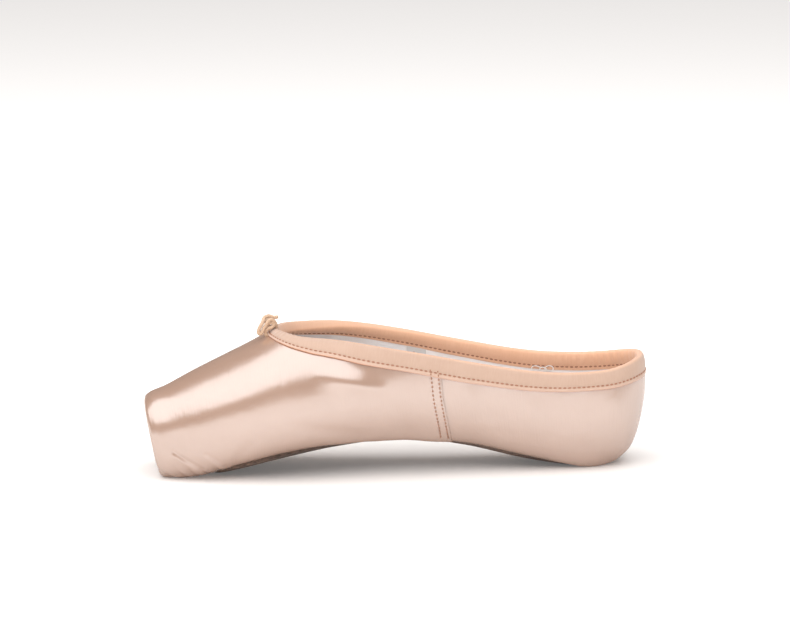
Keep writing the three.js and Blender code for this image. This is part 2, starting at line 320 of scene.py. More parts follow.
slices = SECTIONS.copy()
slices[:, :2] = TOE_X + SECTIONS[:, :2] / 100 * LENGTH
slices[:, 2] *= ARCH_RISE / 100
slices[:, 3] *= INSTEP_HEIGHT / 100
slices[:, 4] *= BALL_WIDTH / 200
turned_over = slices[[1, -2]][:, [1, 0, 3, 2, 4, 5, 6, 7]] * (1, 1, 1, 1, -1, 1, 1, 1)
slices = np.vstack([turned_over[:1], slices, turned_over[1:]])
HEEL_END = len(SECTIONS) - 1.0


def last_point(along, angle):
    """Points of the last: along counts slices from the toe, and angle goes round from the sole."""
    along, angle = np.broadcast_arrays(along, angle)
    i = np.clip(along.astype(int), 0, len(SECTIONS) - 2)
    s = (along - i)[..., None]
    before, start, end, after = (slices[i + k] for k in range(4))
    leaving, arriving, rise = (end - before) / 2, (after - start) / 2, end - start
    bend = 3 * rise - 2 * leaving - arriving
    cut = start + s * (leaving + s * (bend + s * (leaving + arriving - 2 * rise)))
    low_x, crest_x, low_z, crest_z, half, widest, soft_low, soft_top = np.moveaxis(cut, -1, 0)
    down, out = np.cos(angle), np.sin(angle)
    power = 2 / (soft_top + (soft_low - soft_top) * (down + 1) / 2)
    reach = np.abs(down) ** power
    up = np.where(down > 0, widest * (1 - reach), widest + (1 - widest) * reach)
    y = half * np.sign(out) * np.abs(out) ** power
    return np.stack([low_x + (crest_x - low_x) * up, y, low_z + (crest_z - low_z) * up], axis=-1)


def last_slopes(along, angle):
    """How the last runs lengthways and round, and the direction straight out of it."""
    step = 0.004
    inner = np.clip(along, 2 * step, HEEL_END - 2 * step)
    lengthways = (last_point(inner + step, angle) - last_point(inner - step, angle)) / (2 * step)
    around = (last_point(inner, angle + step) - last_point(inner, angle - step)) / (2 * step)
    out = np.cross(around, lengthways)
    return lengthways, around, out / np.linalg.norm(out, axis=-1)[..., None]


def last_grown(along, angle, amount):
    along, angle = np.broadcast_arrays(along, angle)
    return last_point(along, angle) + last_slopes(along, angle)[2] * np.asarray(amount)[..., None]


collar_height = smooth_line(np.column_stack([COLLAR, np.zeros(len(COLLAR))]), 400)


def above_collar(along, angle):
    point = last_point(along, angle)
    return point[..., 2] - np.interp(point[..., 0], collar_height[:, 0], collar_height[:, 1])


def halving(f, low, high):
    """Where f turns from negative to positive, for every element at once."""
    low, high = np.array(low, float), np.array(high, float)
    for _ in range(40):
        middle = (low + high) / 2
        negative = f(middle) < 0
        low, high = np.where(negative, middle, low), np.where(negative, high, middle)
    return low


THROAT = float(halving(lambda u: above_collar(u, np.pi), 6.0, 9.0))
THROAT_X = float(last_point(THROAT, np.pi)[0])
BACK = float(halving(lambda u: -above_collar(u, np.pi), 9.0, HEEL_END - 0.2))


def rim_angle(along):
    """The angle at which each slice meets the collar: the crest where the shoe is closed."""
    along = np.asarray(along, float)
    inside = np.clip(along, THROAT, BACK)
    half_turn = np.full(along.shape, np.pi)
    angle = halving(lambda v: above_collar(inside, v), half_turn / 2, half_turn)
    return np.where((along <= THROAT) | (along >= BACK), np.pi, angle)


# ---------------------------------------------------------------------------------------------------
# Upper: satin over cotton lining. The vamp covers the toe box and is sewn over the quarters with two
# rows of stitches on each side. Under the toe the satin is gathered into pleats that the sole holds.

BOX_WALL = 3.0
QUARTER_WALL = 1.6
BOX_END = -45.0
QUARTER_START = -5.0
SATIN_THICKNESS = 0.6
SEAM_TOP_X = 17.8
SEAM_FOOT_X = 26.4
SEAM_OVERLAP = 7.0
SEAM_STEP = 0.5
PLEATS = 17
PLEAT_HEIGHT = 1.1
PLEAT_CENTRE_X = -76.0

# x, z, x, z, width, depth, side: soft troughs (a negative depth is a ridge) on the near side, -1,
# the far side, 1, or both, 0
CREASES = [
    (-104.6, 14.2, -91.5, 6.0, 0.9, 0.8, 0),
    (-103.0, 12.0, -91.0, 4.6, 1.7, -0.6, 0),
    (-89.2, 13.8, -81.0, 7.6, 0.9, 0.75, 0),
    (-87.6, 11.6, -80.0, 6.0, 1.6, -0.55, 0),
    (-113.0, 5.8, -107.0, 1.5, 0.9, 0.35, 0),
    (-97, 15, -86, 9.5, 3.0, -0.3, 0),
    (-67, 21, -76, 10.5, 3.0, 0.5, 0),
    (-46, 26, -16, 21.5, 3.4, 0.7, 0),
    (-36, 50, -10, 43.1, 3.6, -0.9, -1),
    (-31, 57, -12, 52.2, 3.2, 0.4, -1),
    (-12, 44, 6, 24, 5.0, 0.3, 0),
    (30, 46, 34, 26, 4.5, -0.5, 0),
    (40, 42, 46, 22, 6.0, 0.6, 0),
    (58, 38, 66, 14, 6.0, -0.5, 0),
    (78, 40, 84, 16, 7.0, 0.5, 0),
    (96, 38, 106, 18, 6.0, -0.4, 0),
]

# x, y, sag: the satin hangs over the edges of the sole in a soft roll on each side
SAG = np.array(
    [
        (-95, 14, 0),
        (-70, 25, 0.3),
        (-45, 25, 0.8),
        (-18, 21, 2.8),
        (0, 18.5, 3.4),
        (16, 17.5, 3.0),
        (30, 17, 1.8),
        (60, 16.5, 1.7),
        (76, 15.5, 2.6),
        (90, 12.5, 3.4),
        (99, 8, 2.4),
        (106, 3, 0),
    ]
)
SAG_WIDTH = 6.0
HEEL_SEAM_FROM = 104.0
PUCKERS = 11


def wall_at(x):
    share = np.clip((x - BOX_END) / (QUARTER_START - BOX_END), 0, 1)
    return BOX_WALL + (QUARTER_WALL - BOX_WALL) * share * share * (3 - 2 * share)


def soft(distance, width):
    return np.exp(-((distance / width) ** 2))


def crease_depth(point):
    """How far the creases press the satin in at each point."""
    depth = np.zeros(point.shape[:-1])
    x, y, z = np.moveaxis(point, -1, 0)
    for x0, z0, x1, z1, width, deep, side in CREASES:
        run = (x1 - x0) ** 2 + (z1 - z0) ** 2
        t = np.clip(((x - x0) * (x1 - x0) + (z - z0) * (z1 - z0)) / run, 0, 1)
        distance = np.hypot(x - x0 - t * (x1 - x0), z - z0 - t * (z1 - z0))
        fade = np.sin(np.pi * np.clip(t, 0.12, 0.88)) ** 0.5
        here = np.ones_like(x) if side == 0 else 1 / (1 + np.exp(-side * y / 3))
        depth += deep * fade * soft(distance, width) * here
    return depth


def sag_depth(point, out):
    """How far the satin hangs below the last, beside the sole."""
    rows = smooth_line(SAG, 400)
    x, y, z = np.moveaxis(point, -1, 0)
    roll_y = np.interp(x, rows[:, 0], rows[:, 1])
    amount = np.interp(x, rows[:, 0], rows[:, 2], left=0, right=0)
    return amount * soft(np.abs(y) - roll_y, SAG_WIDTH) * np.clip(-1.7 * out[..., 2], 0, 1)


def small_folds(point):
    """Puckers that run forward from the throat, and the seam up the back of the heel."""
    x, y, z = np.moveaxis(point, -1, 0)
    ahead = THROAT_X - x
    turn = np.arctan2(y, ahead + 6)
    puckers = 0.3 * np.cos(PUCKERS * turn * 2) * np.clip(ahead / 2, 0, 1)
    puckers = puckers * soft(ahead - 3, 5) * soft(y, 9)
    behind = np.clip((x - HEEL_SEAM_FROM) / 5, 0, 1)
    seam = 0.22 * soft(np.abs(y) - 1.7, 0.9) - 0.45 * soft(y, 0.9)
    return puckers * (z > 40) + seam * behind


def pleat_height(point):
    """The overlapping folds under the toe: each rises slowly to its edge and drops to the next."""
    x, y, z = np.moveaxis(point, -1, 0)
    turn = np.arctan2(y, PLEAT_CENTRE_X - x) / np.pi + 0.5
    share = (turn * PLEATS + 0.15 * np.sin(turn * 23)) % 1
    fold = np.minimum(share / 0.82, (1 - share) / 0.18)
    reach = np.hypot(y, PLEAT_CENTRE_X - x)
    under = np.clip((9 - z) / 7, 0, 1) * np.clip((PLEAT_CENTRE_X + 2 - x) / 6, 0, 1)
    fade = np.clip((38 - reach) / 10, 0, 1)
    return (fold - 0.5) * PLEAT_HEIGHT * under * fade


def place_grid(name, across, down, place, wrap=None):
    """A sheet made from a grid: place gives each vertex from its two shares, 0 to 1. wrap gives its
    texture coordinates in millimetres."""
    bpy.ops.object.select_all(action="DESELECT")
    bpy.ops.mesh.primitive_grid_add(x_subdivisions=across, y_subdivisions=down, size=1, calc_uvs=True)
    sheet = bpy.context.object
    sheet.name = name
    sheet.data.name = name
    count = len(sheet.data.vertices)
    flat = np.empty(count * 3)
    sheet.data.vertices.foreach_get("co", flat)
    flat = flat.reshape(-1, 3) + 0.5
    u, v = flat[:, 0], flat[:, 1]
    placed = place(u, v)
    sheet.data.vertices.foreach_set("co", (placed * MM).ravel())
    if wrap is not None:
        loops = np.empty(len(sheet.data.loops), int)
        sheet.data.loops.foreach_get("vertex_index", loops)
        coordinates = wrap(u, v, placed)[loops]
        sheet.data.uv_layers.active.data.foreach_set("uv", coordinates.ravel())
    sheet.data.flip_normals()
    sheet.data.update()
    return sheet


def weld(sheet, distance=0.02):
    """Joins the edges of a sheet that meet."""
    bpy.ops.object.select_all(action="DESELECT")
    sheet.select_set(True)
    bpy.context.view_layer.objects.active = sheet
    bpy.ops.object.mode_set(mode="EDIT")
    bpy.ops.mesh.select_all(action="SELECT")
    bpy.ops.mesh.remove_doubles(threshold=distance * MM)
    bpy.ops.object.mode_set(mode="OBJECT")


def modify(piece, kind, **settings):
    """Adds a modifier and applies it."""
    bpy.ops.object.select_all(action="DESELECT")
    piece.select_set(True)
    bpy.context.view_layer.objects.active = piece
    modifier = piece.modifiers.new(kind.lower(), kind)
    for key, value in settings.items():
        setattr(modifier, key, value)
    bpy.ops.object.modifier_apply(modifier=modifier.name)


def along_at(x):
    """The place among the slices of the waist and heel that lies at x."""
    rows = np.arange(7, 13)
    return np.interp(x, slices[rows + 1, 0], rows)


def seam_x(share):
    """Where the vamp's edge lies, from the collar, 1, to the sole, 0."""
    return SEAM_FOOT_X + (SEAM_TOP_X - SEAM_FOOT_X) * np.abs(share) ** 1.3


def panel_place(first, last, amount):
    """Places a panel between two lines across the shoe. The sheet's second share runs from one side
    of the collar, under the sole, to the other."""

    def place(u, v):
        turn = 2 * v - 1
        along = first(turn) + (last(turn) - first(turn)) * u
        angle = turn * rim_angle(along)
        point = last_point(along, angle)
        out = last_slopes(along, angle)[2]
        moved = amount(point) - crease_depth(point) + pleat_height(point) + small_folds(point)
        placed = point + out * moved[:, None]
        placed[:, 2] -= sag_depth(point, out)
        placed[:, 2] = np.maximum(placed[:, 2], 0.0)
        return placed

    return place


def girth_wrap(across, down):
    """Texture coordinates in metres: along the shoe, and round it from the sole."""

    def wrap(u, v, placed):
        order = np.lexsort((v.round(6), u.round(6)))
        rows = placed[order].reshape(across + 1, down + 1, 3)
        steps = np.linalg.norm(np.diff(rows, axis=1), axis=2)
        girth = np.concatenate([np.zeros((across + 1, 1)), np.cumsum(steps, axis=1)], axis=1)
        girth -= girth[:, [down // 2]]
        middle = down // 4
        lengths = np.linalg.norm(np.diff(rows[:, middle], axis=0), axis=1)
        length = np.concatenate([[0], np.cumsum(lengths)])
        found = np.empty((len(u), 2))
        found[order, 0] = np.repeat(length, down + 1)
        found[order, 1] = girth.ravel()
        return found * MM

    return wrap


def vamp_amount(point):
    rise = np.clip((point[..., 0] - 2) / 14, 0, 1)
    return SEAM_STEP * rise * rise * (3 - 2 * rise)


def quarter_amount(point):
    under = np.clip((SEAM_FOOT_X + 1 - point[..., 0]) / 5, 0, 1)
    return -0.2 * under


VAMP_GRID = (180, 260)
QUARTER_GRID = (160, 250)

vamp = place_grid(
    "vamp",
    *VAMP_GRID,
    panel_place(lambda t: 0 * t, lambda t: along_at(seam_x(t)), vamp_amount),
    girth_wrap(*VAMP_GRID),
)
quarters = place_grid(
    "quarters",
    *QUARTER_GRID,
    panel_place(
        lambda t: along_at(seam_x(t) - SEAM_OVERLAP), lambda t: HEEL_END + 0 * t, quarter_amount
    ),
    girth_wrap(*QUARTER_GRID),
)

satin, tree, shader = new_material(
    "peach satin",
    (0.36, 0.214, 0.147),
    0.25,
    IOR=2.12,
    Specular_IOR_Level=1.0,
)
place = add_node(tree, "ShaderNodeTexCoord").outputs["UV"]
drawn_out = add_node(tree, "ShaderNodeMapping", {"Vector": place, "Scale": (1400, 90, 1)})
threads = add_node(
    tree, "ShaderNodeTexNoise", {"Vector": drawn_out.outputs["Vector"], "Scale": 1, "Detail": 2}
)
cloudy = add_node(tree, "ShaderNodeTexNoise", {"Vector": place, "Scale": 42, "Detail": 3})
two_tone(tree, shader, cloudy.outputs["Fac"], (0.328, 0.19, 0.126), (0.395, 0.24, 0.168))
slight = bump(tree, shader, cloudy.outputs["Fac"], 0.4, 1.0)
bump(tree, shader, threads.outputs["Fac"], 0.55, 0.14, slight)

for panel in (vamp, quarters):
    weld(panel)
    modify(panel, "SOLIDIFY", thickness=SATIN_THICKNESS * MM, offset=-1)
    shade_smooth(panel)
    panel.data.materials.append(satin)
    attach(panel, "root")
    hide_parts("upper")

# ---------------------------------------------------------------------------------------------------
# Lining: grey-white cotton inside the upper, stuck to the box and sewn to the quarters. It has three
# flat seams on each side, which end under the binding, and it ripples a little between them.

LINING_THICKNESS = 0.5
LINING_GRID = (150, 130)
LINING_SEAMS = (-20.0, -6.8, 46.0)
SEAMS_FROM = 22.0
SEAMS_TO = 53.6


def lining_place(u, v):
    along = 0.02 + (HEEL_END - 0.04) * u
    angle = (2 * v - 1) * rim_angle(along)
    point = last_point(along, angle)
    out = last_slopes(along, angle)[2]
    x, y, z = point.T
    seams = sum(soft(x - seam - 0.08 * (z - 40), 0.9) for seam in LINING_SEAMS)
    ripples = 0.16 * np.sin(0.31 * x + 0.9 * np.sin(0.13 * z)) * np.cos(0.17 * z + 0.05 * x)
    raised = 0.35 * seams * np.clip(z - SEAMS_FROM, 0, 1) * np.clip(SEAMS_TO - z, 0, 1)
    inside = wall_at(x) + raised + ripples
    return point - out * inside[:, None]


lining = place_grid("lining", *LINING_GRID, lining_place, girth_wrap(*LINING_GRID))
weld(lining)
modify(lining, "SOLIDIFY", thickness=LINING_THICKNESS * MM, offset=-1)
shade_smooth(lining)

canvas, tree, shader = new_material("grey lining", (0.55, 0.5, 0.5), 0.9, Sheen_Weight=0.2)
place = add_node(tree, "ShaderNodeTexCoord").outputs["UV"]
yarn = {"Vector": place, "Scale": 420, "Distortion": 1.5}
weft = add_node(tree, "ShaderNodeTexWave", yarn, bands_direction="X").outputs["Fac"]
warp = add_node(tree, "ShaderNodeTexWave", yarn, bands_direction="Y").outputs["Fac"]
weave = add_node(tree, "ShaderNodeMath", {0: weft, 1: warp}, operation="MULTIPLY")
stain = add_node(tree, "ShaderNodeTexNoise", {"Vector": place, "Scale": 45, "Detail": 3})
two_tone(tree, shader, stain.outputs["Fac"], (0.84, 0.80, 0.79), (0.94, 0.91, 0.90))
bump(tree, shader, weave.outputs["Value"], 0.4, 0.15)
lining.data.materials.append(canvas)
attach(lining, "root")
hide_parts("upper")

# ---------------------------------------------------------------------------------------------------
# Labels: a white cotton tab and a grey patch, both blank, sewn side by side to the far lining under
# the binding. Each is a thin strip of ribbed tape that stands off the lining a little at its foot.

# x from, x to, top, foot
TAB = (-6.0, 6.3, 53.4, 41.0)
PATCH = (7.2, 16.2, 52.4, 42.5)
LABEL_SLOPE = 0.14
LABEL_THICKNESS = 0.3


def on_lining(x, z, amount):
    """A place on the far side of the lining, at x and z, and this far inside it."""
    x, z = np.broadcast_arrays(np.asarray(x, float), np.asarray(z, float))
    along = along_at(x)
    quarter_turn = np.full(x.shape, np.pi / 2)
    low, high = 0.3 * quarter_turn, 1.9 * quarter_turn
    angle = halving(lambda a: last_point(along, a)[..., 2] - z, low, high)
    return last_grown(along, angle, -wall_at(x) - LINING_THICKNESS - amount)


def sewn_label(name, place, material):
    start, end, top, foot = place

    def spread(u, v):
        x = start + (end - start) * u
        z = foot + (top - foot) * v - LABEL_SLOPE * (x - start)
        lifted = 0.35 * (1 - (2 * u - 1) ** 4) * (1 - v) + 0.1
        return on_lining(x, z, lifted)

    label = place_grid(name, 30, 24, spread)
    modify(label, "SOLIDIFY", thickness=LABEL_THICKNESS * MM, offset=0)
    modify(label, "BEVEL", width=0.1 * MM, segments=2)
    shade_smooth(label)
    label.data.materials.append(material)
    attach(label, "root")


def ribbed(name, dark, light, roughness):
    material, tree, shader = new_material(name, light, roughness)
    place = add_node(tree, "ShaderNodeTexCoord").outputs["Object"]
    ribs = add_node(
        tree, "ShaderNodeTexWave", {"Vector": place, "Scale": 900, "Distortion": 0.5}, bands_direction="Z"
    )
    two_tone(tree, shader, ribs.outputs["Fac"], dark, light)
    bump(tree, shader, ribs.outputs["Fac"], 0.3, 0.08)
    return material


sewn_label("lining_tab", TAB, ribbed("white tab", (0.80, 0.79, 0.79), (0.92, 0.91, 0.91), 0.7))
sewn_label("lining_patch", PATCH, ribbed("grey patch", (0.60, 0.58, 0.57), (0.72, 0.70, 0.69), 0.8))

# ---------------------------------------------------------------------------------------------------
# Outsole and insole: a thin waisted piece of leather glued under the pleats, skived at its edge, and a
# cotton-covered board inside.

GAP = 0.3
SOLE_THICKNESS = 2.2
INSOLE_THICKNESS = 1.8
INSOLE_MARGIN = 5.0
# x, half width
OUTSOLE = np.array(
    [
        (-88, 0),
        (-83, 12),
        (-70, 18.5),
        (-50, 20.5),
        (-22, 16.5),
        (12, 12.5),
        (45, 13),
        (74, 12.5),
        (90, 10.5),
        (97, 7.2),
        (100, 0),
    ]
)
SKIVED_WIDTH = 6.0
SKIVED_TO = 0.42


def sole_outline(margin):
    rows = np.column_stack([OUTSOLE, np.zeros(len(OUTSOLE))]).astype(float)
    rows[1:-1, 1] += margin
    rows[0, 0] -= margin
    rows[-1, 0] += margin
    return smooth_line(rows, 600)


def sole_place(margin, offset, trim=0.0):
    """Places a sheet along the sole line, as wide as the sole's outline, at an offset from the last."""
    outline = sole_outline(margin)
    start, end = outline[0, 0] + trim, outline[-1, 0] - trim
    rows = np.linspace(0, HEEL_END, 1200)
    sole_x = last_point(rows, np.zeros(rows.shape))[:, 0]
    rising = np.maximum.accumulate(sole_x)

    def place(u, v):
        share = (1 - np.cos(np.pi * u)) / 2
        x = start + (end - start) * share
        along = np.interp(x, rising, rows)
        half = np.maximum(np.interp(x, outline[:, 0], outline[:, 1]), 0.4)
        widest = halving(
            lambda a: last_point(along, a)[:, 1] - half, np.zeros(u.shape), np.full(u.shape, np.pi / 2)
        )
        angle = (2 * v - 1) * widest
        x_here = last_point(along, angle)[:, 0]
        return last_grown(along, angle, offset(x_here))

    return place


outsole = place_grid("sole", 170, 60, sole_place(0, lambda x: GAP + 0 * x))
outline = sole_outline(0)
group = outsole.vertex_groups.new(name="thickness")
for vertex in outsole.data.vertices:
    x, y = vertex.co.x / MM, abs(vertex.co.y / MM)
    inside = min(np.interp(x, outline[:, 0], outline[:, 1]) - y, x - outline[0, 0], outline[-1, 0] - x)
    share = np.clip(inside / SKIVED_WIDTH, 0, 1)
    group.add([vertex.index], SKIVED_TO + (1 - SKIVED_TO) * share * (2 - share), "REPLACE")
modify(outsole, "SOLIDIFY", thickness=SOLE_THICKNESS * MM, offset=1, vertex_group="thickness")
for vertex in outsole.data.vertices:
    vertex.co.z = max(vertex.co.z, 0)
modify(outsole, "BEVEL", width=0.3 * MM, segments=3, limit_method="ANGLE", angle_limit=np.radians(50))
shade_smooth(outsole)
suede, tree, shader = new_material("sole leather", (0.30, 0.2, 0.15), 0.75)
place = add_node(tree, "ShaderNodeTexCoord").outputs["Object"]
nap = add_node(tree, "ShaderNodeTexNoise", {"Vector": place, "Scale": 700, "Detail": 5})
blotch = add_node(tree, "ShaderNodeTexNoise", {"Vector": place, "Scale": 60, "Detail": 4})
marks = {0: nap.outputs["Fac"], 1: blotch.outputs["Fac"]}
tone = add_node(tree, "ShaderNodeMath", marks, operation="MULTIPLY")
ramp = two_tone(tree, shader, tone.outputs["Value"], (0.035, 0.021, 0.016), (0.19, 0.125, 0.095))
ramp.color_ramp.elements[0].position = 0.1
ramp.color_ramp.elements[1].position = 0.45
bump(tree, shader, nap.outputs["Fac"], 0.6, 0.25)
outsole.data.materials.append(suede)
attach(outsole, "root")
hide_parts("outsole")

insole = place_grid(
    "insole_board",
    150,
    40,
    sole_place(INSOLE_MARGIN, lambda x: -wall_at(x) - LINING_THICKNESS - INSOLE_THICKNESS, trim=1.5),
)
modify(insole, "SOLIDIFY", thickness=(INSOLE_THICKNESS - 0.1) * MM, offset=1)
modify(insole, "BEVEL", width=0.5 * MM, segments=3, limit_method="ANGLE", angle_limit=np.radians(50))
shade_smooth(insole)
sock, tree, shader = new_material("insole cotton", (0.6, 0.55, 0.53), 0.9, Sheen_Weight=0.2)
place = add_node(tree, "ShaderNodeTexCoord").outputs["Object"]
yarn = {"Vector": place, "Scale": 700, "Distortion": 1}
twill = add_node(tree, "ShaderNodeTexWave", yarn, bands_direction="DIAGONAL")
worn = add_node(tree, "ShaderNodeTexNoise", {"Vector": place, "Scale": 30, "Detail": 3})
two_tone(tree, shader, worn.outputs["Fac"], (0.52, 0.47, 0.45), (0.68, 0.63, 0.61))
bump(tree, shader, twill.outputs["Fac"], 0.4, 0.15)
insole.data.materials.append(sock)
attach(insole, "root")
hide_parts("insole")

# ---------------------------------------------------------------------------------------------------
# Binding: cotton tape folded over the edge of the satin. Its fold holds the drawstring, so the top is
# full and round, and one row of stitches through both flanges holds it, 2 mm above its lower edge.

BINDING_STEPS = 560
MARCH_STEP = 0.5
MARCH_UP = 5
MARCH_DOWN = 21
STITCH_ROW = 7.0
INSIDE_STITCH_ROW = 5.9

# down, out: the tape's section outside the satin, from its lower edge up to the top of the fold
TAPE_OUTSIDE = np.array(
    [
        (8.7, 0.12),
        (9.15, 0.3),
        (9.1, 0.75),
        (8.5, 0.95),
        (7.6, 0.82),
        (7.0, 0.55),
        (6.4, 0.85),
        (5.0, 1.25),
        (3.4, 1.5),
        (1.8, 1.6),
        (0.4, 1.5),
        (-0.7, 1.05),
        (-1.25, 0.35),
    ]
)
# down, in: the section inside the wall, from the top of the fold down to its inner edge
TAPE_INSIDE = np.array(
    [
        (-1.3, -0.5),
        (-1.1, 0.3),
        (-0.5, 0.85),
        (0.7, 1.25),
        (2.3, 1.4),
        (4.0, 1.2),
        (5.2, 0.85),
        (5.9, 0.6),
        (6.5, 0.82),
        (7.3, 0.88),
        (7.8, 0.7),
        (7.7, 0.15),
    ]
)
# down, out: back up inside the fold and down again, clear of the satin
TAPE_LINING = np.array([(4.0, -0.1), (0.6, -0.1)])
# x, width outside, width inside, fullness: drawn narrow at the throat, and flat round the heel
TAPE_SIZE = np.array(
    [
        (-58, 0.42, 0.42, 0.75),
        (-51, 0.68, 0.58, 0.85),
        (-37, 0.92, 0.72, 0.95),
        (-16, 0.96, 0.8, 1),
        (3, 0.92, 0.83, 1),
        (32, 0.95, 0.89, 1),
        (70, 0.86, 0.97, 0.95),
        (90, 0.82, 1.0, 0.75),
        (104, 0.88, 1.0, 0.6),
        (118, 1.0, 1.0, 0.5),
    ]
)


def collar_places(count):
    """Evenly spaced places round the collar, as slices and angles, from the throat by the far side."""
    middle, reach = (THROAT + BACK) / 2, (BACK - THROAT) / 2
    turn = np.linspace(0, np.pi, 2400)
    along = middle - reach * np.cos(turn)
    edge = last_point(along, rim_angle(along))
    travelled = np.concatenate([[0], np.cumsum(np.linalg.norm(np.diff(edge, axis=0), axis=1))])
    total = travelled[-1]
    wanted = np.linspace(0, 2 * total, count, endpoint=False)
    folded = np.where(wanted > total, 2 * total - wanted, wanted)
    along = middle - reach * np.cos(np.interp(folded, travelled, turn))
    angle = rim_angle(along)
    return along, np.where(wanted > total, -angle, angle), wanted


def walk(along, angle, direction, steps, stride):
    """Walks down the last from each place, and gives the points and outward directions met."""
    points, outs = [], []
    for _ in range(steps + 1):
        lengthways, around, out = last_slopes(along, angle)
        points.append(last_point(along, angle))
        outs.append(out)
        direction = direction - out * (direction * out).sum(1)[:, None]
        direction /= np.linalg.norm(direction, axis=1)[:, None]
        pairs = (lengthways, lengthways), (lengthways, around), (around, around)
        a, b, c = ((p * q).sum(1) for p, q in pairs)
        d, e = (lengthways * direction).sum(1), (around * direction).sum(1)
        spread = a * c - b * b
        along = along + stride * (d * c - e * b) / spread
        angle = angle + stride * (e * a - d * b) / spread
    return points, outs


rim_along, rim_turn, rim_length = collar_places(BINDING_STEPS)
rim_edge = last_point(rim_along, rim_turn)
rim_out = last_slopes(rim_along, rim_turn)[2]
rim_run = np.roll(rim_edge, -1, axis=0) - np.roll(rim_edge, 1, axis=0)
rim_run /= np.linalg.norm(rim_run, axis=1)[:, None]
rim_down = np.cross(rim_out, rim_run)
rim_down *= np.sign(-rim_down[BINDING_STEPS // 4, 2])
down_points, down_outs = walk(rim_along, rim_turn, rim_down, MARCH_DOWN, MARCH_STEP)
up_points, up_outs = walk(rim_along, rim_turn, -rim_down, MARCH_UP, MARCH_STEP)
ladder_points = np.array(up_points[:0:-1] + down_points)
ladder_outs = np.array(up_outs[:0:-1] + down_outs)
outside_width, inside_width, tape_fullness = (
    np.interp(rim_edge[:, 0], TAPE_SIZE[:, 0], TAPE_SIZE[:, column]) for column in (1, 2, 3)
)


def on_ladder(ladder, down):
    """Values all round the collar, at this distance below the satin's edge."""
    rung = np.clip(down / MARCH_STEP + MARCH_UP, 0, len(ladder) - 1.001)
    low = rung.astype(int)
    share = (rung - low)[:, None]
    column = np.arange(BINDING_STEPS)
    return ladder[low, column] * (1 - share) + ladder[low + 1, column] * share


def collar_point(down, out):
    """The points all round the collar at this distance below the satin's edge and out of its face."""
    return on_ladder(ladder_points, down) + on_ladder(ladder_outs, down) * np.asarray(out)[:, None]


rim_wall = wall_at(rim_edge[:, 0])
from_throat = np.minimum(rim_length, rim_length[-1] + rim_length[1] - rim_length)
uneven = 0.7 * np.sin(rim_length * 0.9)
gather = 0.3 * soft(from_throat, 16) * np.sin(rim_length * 2 * np.pi / 2.6 + uneven)
uneven = np.sin(rim_length * 0.37)
heel_gather = 0.4 * soft(rim_edge[:, 0] - 96, 16) * np.sin(rim_length * 2 * np.pi / 3.9 + uneven)
rings = []
for down, out in TAPE_OUTSIDE:
    puffed = np.clip((STITCH_ROW - down) / 5, 0, 1)
    rings.append(collar_point(down * outside_width, out * tape_fullness + gather * puffed))
for down, inside in TAPE_INSIDE:
    puffed = np.clip((INSIDE_STITCH_ROW - down) / 4, 0, 1)
    pushed = inside + (gather + heel_gather) * puffed
    rings.append(collar_point(down * inside_width, -rim_wall - pushed))
for down, out in TAPE_LINING:
    rings.append(collar_point(down * inside_width, -rim_wall + out))
for down, out in TAPE_LINING[::-1]:
    rings.append(collar_point(down * outside_width, np.full(BINDING_STEPS, -out)))
count = len(rings)
faces = []
for ring in range(count):
    following = (ring + 1) % count
    for k in range(BINDING_STEPS):
        n = (k + 1) % BINDING_STEPS
        here, there = ring * BINDING_STEPS, following * BINDING_STEPS
        faces.append((here + k, there + k, there + n, here + n))
binding = mesh_object("binding_tape", np.concatenate(rings), faces)
wrap = binding.data.uv_layers.new(name="wrap")
section = np.concatenate([TAPE_OUTSIDE, TAPE_INSIDE * (1, -1)])
walked = np.concatenate([[0], np.cumsum(np.linalg.norm(np.diff(section, axis=0), axis=1))])
across = np.full(count, walked[-1])
across[: len(walked)] = walked
for polygon in binding.data.polygons:
    for loop in polygon.loop_indices:
        index = binding.data.loops[loop].vertex_index
        around, over = rim_length[index % BINDING_STEPS], across[index // BINDING_STEPS]
        wrap.data[loop].uv = (around * MM, over * MM)
modify(binding, "SUBSURF", levels=1, render_levels=1)
bpy.ops.object.mode_set(mode="EDIT")
bpy.ops.mesh.select_all(action="SELECT")
bpy.ops.mesh.normals_make_consistent(inside=False)
bpy.ops.object.mode_set(mode="OBJECT")
shade_smooth(binding)

tape, tree, shader = new_material(
    "cotton tape", (0.74, 0.48, 0.35), 0.85, Sheen_Weight=0.3, Sheen_Roughness=0.5
)
place = add_node(tree, "ShaderNodeTexCoord").outputs["UV"]
stretched = add_node(tree, "ShaderNodeMapping", {"Vector": place, "Scale": (1500, 160, 1)})
ribs = add_node(
    tree, "ShaderNodeTexNoise", {"Vector": stretched.outputs["Vector"], "Scale": 1, "Detail": 2}
)
shade = add_node(tree, "ShaderNodeTexNoise", {"Vector": place, "Scale": 90, "Detail": 3})
marks = {0: ribs.outputs["Fac"], 1: shade.outputs["Fac"]}
tone = add_node(tree, "ShaderNodeMath", marks, operation="ADD").outputs["Value"]
halved = add_node(tree, "ShaderNodeMath", {0: tone, 1: 0.5}, operation="MULTIPLY").outputs["Value"]
cloth = two_tone(tree, shader, halved, (0.43, 0.283, 0.208), (0.525, 0.374, 0.295))
from_edge = add_node(tree, "ShaderNodeSeparateXYZ", {"Vector": place}).outputs["Y"]


def fade_over(start, end, at_start, at_end):
    """A share that changes between two distances from the tape's outer edge, in metres."""
    limits = {"From Min": start, "From Max": end, "To Min": at_start, "To Max": at_end}
    return add_node(tree, "ShaderNodeMapRange", {"Value": from_edge, **limits}).outputs["Result"]


def mixed(share, under, over):
    """One colour over another."""
    mix = add_node(tree, "ShaderNodeMixRGB", {"Fac": share, "Color1": under, "Color2": over})
    return mix.outputs["Color"]


